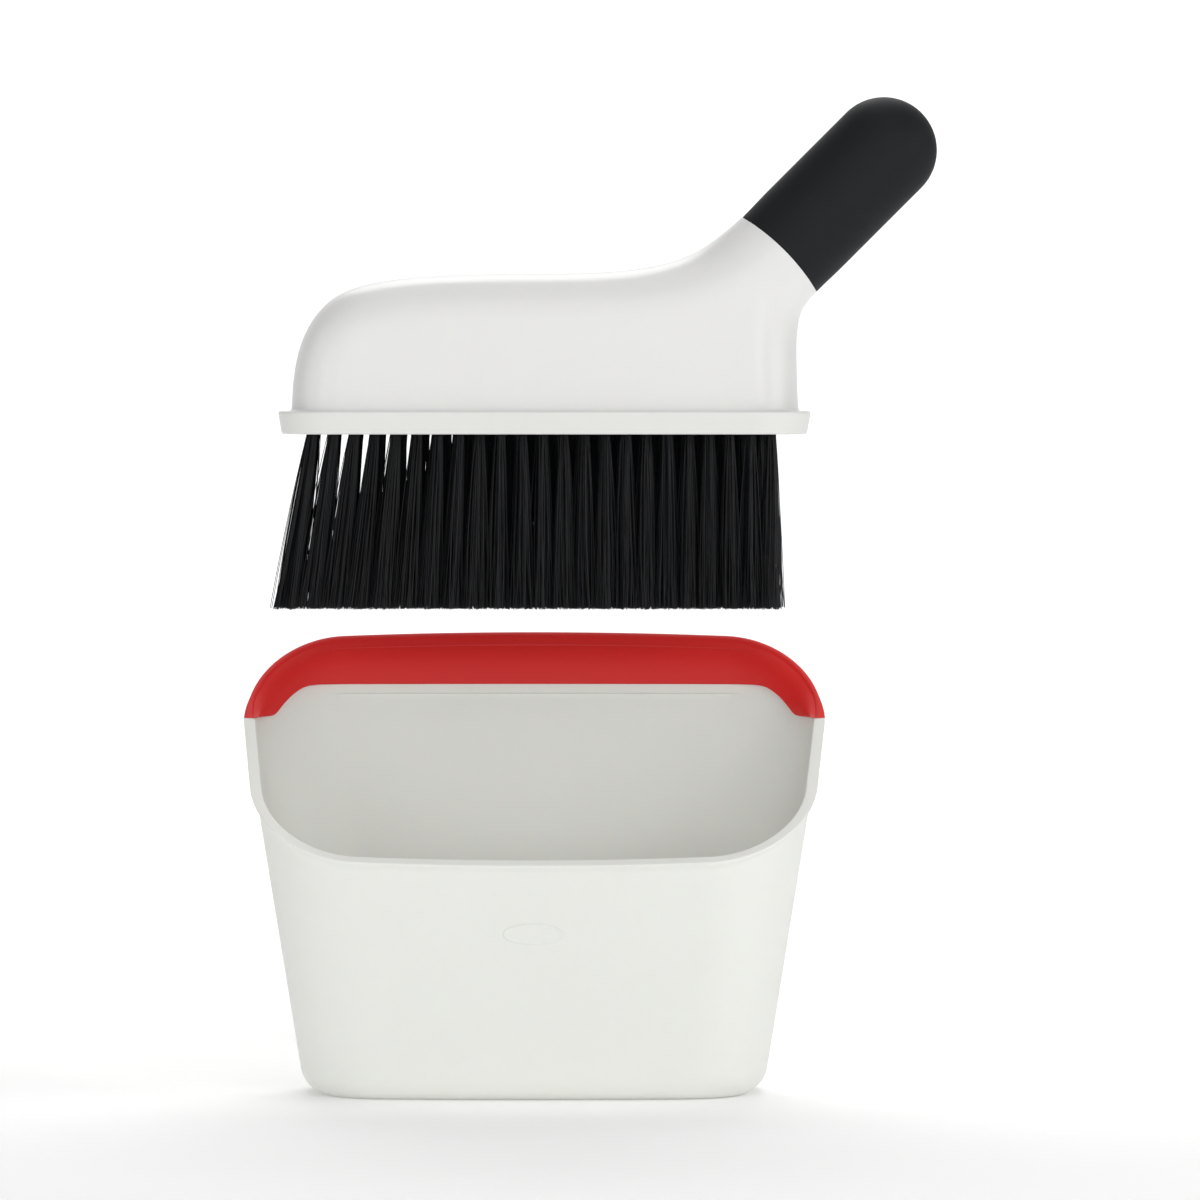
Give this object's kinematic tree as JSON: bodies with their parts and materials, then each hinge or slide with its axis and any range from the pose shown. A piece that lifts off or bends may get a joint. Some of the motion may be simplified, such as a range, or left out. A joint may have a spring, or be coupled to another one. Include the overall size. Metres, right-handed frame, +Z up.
{
  "type": "dust pan and brush set",
  "caption": "Upright bucket-shaped dust pan with a slanted mouth and a soft lip, and a hand brush with a raised rubber grip held over the mouth it is stored in.",
  "frame": {"origin": "centre of the pan's flat base", "axes": "+Z up, +X towards the brush's grip, -Y towards the pan's low front wall"},
  "size_m": [0.2656, 0.1079, 0.3805],
  "materials": {
    "pan_plastic": "warm off-white moulded plastic, fine matte texture",
    "lip_rubber": "red elastomer, satin",
    "housing_plastic": "off-white moulded plastic, satin gloss",
    "block_plastic": "off-white moulded plastic, satin",
    "core_plastic": "off-white moulded plastic",
    "grip_rubber": "black elastomer, matte",
    "bristle_nylon": "black drawn nylon filament, slight sheen",
    "staple_steel": "flattened wire"
  },
  "bodies": {
    "pan": {"pan_shell": "pan_plastic", "lip_seal": "lip_rubber"},
    "brush": {"bristle_block": "block_plastic", "brush_housing": "housing_plastic", "grip_core": "core_plastic", "grip_sleeve": "grip_rubber", "tufts_row_1": "bristle_nylon", "tufts_row_2": "bristle_nylon", "tufts_row_3": "bristle_nylon", "tufts_row_4": "bristle_nylon", "tufts_row_5": "bristle_nylon", "toe_tufts": "bristle_nylon", "tuft_staples": "staple_steel"}
  },
  "joints": [
    {"name": "brush_lift", "type": "slide", "parent": "pan", "child": "brush", "axis": [0.0263, 0, 0.9997], "range_m": [-0.15205, 0], "deforming": ["toe_tufts"]}
  ]
}
